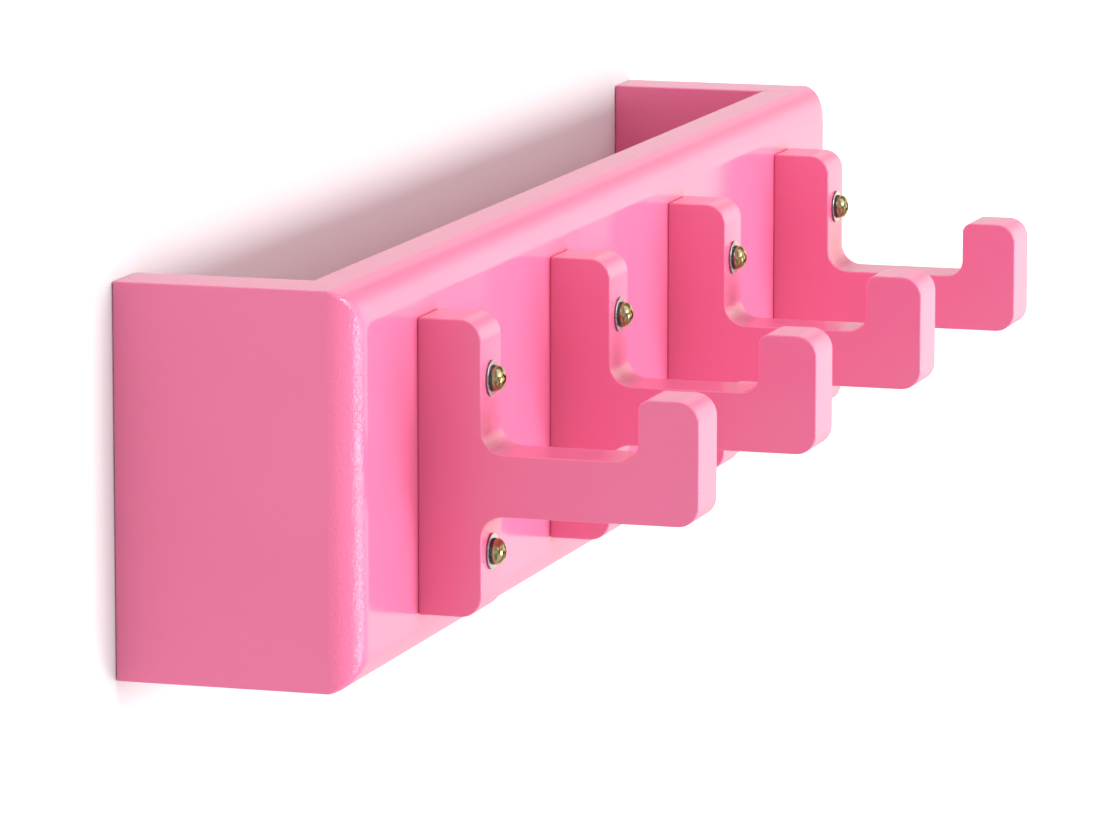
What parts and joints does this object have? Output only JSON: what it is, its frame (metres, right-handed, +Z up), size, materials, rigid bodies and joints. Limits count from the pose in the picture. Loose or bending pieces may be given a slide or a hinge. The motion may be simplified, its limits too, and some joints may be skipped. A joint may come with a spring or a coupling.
{
  "type": "wall hook rack",
  "caption": "Painted wall rack: an open-topped board trough with boot-shaped hooks bolted along its front board, hung on keyhole hangers let into its end panels.",
  "frame": {"origin": "on the wall plane, at mid-length, level with the rack's underside", "axes": "+X along the rack, to the right of someone facing it; +Y into the wall; +Z up"},
  "size_m": [0.48, 0.147, 0.108],
  "materials": {
    "pink_paint": "gloss",
    "beech": "matte",
    "yellow_zinc": "satin",
    "bright_zinc": "satin",
    "dark_steel": "satin",
    "brass": "satin"
  },
  "bodies": {
    "root": {"front_board": "pink_paint", "end_panel_left": "pink_paint", "end_panel_right": "pink_paint", "bottom_board": "pink_paint", "end_dowel_left_1": "beech", "end_dowel_left_2": "beech", "end_dowel_left_3": "beech", "bottom_dowel_left_1": "beech", "bottom_dowel_left_2": "beech", "end_dowel_right_1": "beech", "end_dowel_right_2": "beech", "end_dowel_right_3": "beech", "bottom_dowel_right_1": "beech", "bottom_dowel_right_2": "beech", "bottom_dowel_front_1": "beech", "bottom_dowel_front_2": "beech", "hook_1": "pink_paint", "hook_1_lower_screw": "yellow_zinc", "hook_1_lower_lock_washer": "dark_steel", "hook_1_lower_flat_washer": "bright_zinc", "hook_1_lower_insert": "brass", "hook_1_upper_screw": "yellow_zinc", "hook_1_upper_lock_washer": "dark_steel", "hook_1_upper_flat_washer": "bright_zinc", "hook_1_upper_insert": "brass", "hook_2": "pink_paint", "hook_2_lower_screw": "yellow_zinc", "hook_2_lower_lock_washer": "dark_steel", "hook_2_lower_flat_washer": "bright_zinc", "hook_2_lower_insert": "brass", "hook_2_upper_screw": "yellow_zinc", "hook_2_upper_lock_washer": "dark_steel", "hook_2_upper_flat_washer": "bright_zinc", "hook_2_upper_insert": "brass", "hook_3": "pink_paint", "hook_3_lower_screw": "yellow_zinc", "hook_3_lower_lock_washer": "dark_steel", "hook_3_lower_flat_washer": "bright_zinc", "hook_3_lower_insert": "brass", "hook_3_upper_screw": "yellow_zinc", "hook_3_upper_lock_washer": "dark_steel", "hook_3_upper_flat_washer": "bright_zinc", "hook_3_upper_insert": "brass", "hook_4": "pink_paint", "hook_4_lower_screw": "yellow_zinc", "hook_4_lower_lock_washer": "dark_steel", "hook_4_lower_flat_washer": "bright_zinc", "hook_4_lower_insert": "brass", "hook_4_upper_screw": "yellow_zinc", "hook_4_upper_lock_washer": "dark_steel", "hook_4_upper_flat_washer": "bright_zinc", "hook_4_upper_insert": "brass", "hanger_left": "bright_zinc", "hanger_left_lower_screw": "bright_zinc", "hanger_left_upper_screw": "bright_zinc", "hanger_right": "bright_zinc", "hanger_right_lower_screw": "bright_zinc", "hanger_right_upper_screw": "bright_zinc"}
  },
  "joints": []
}
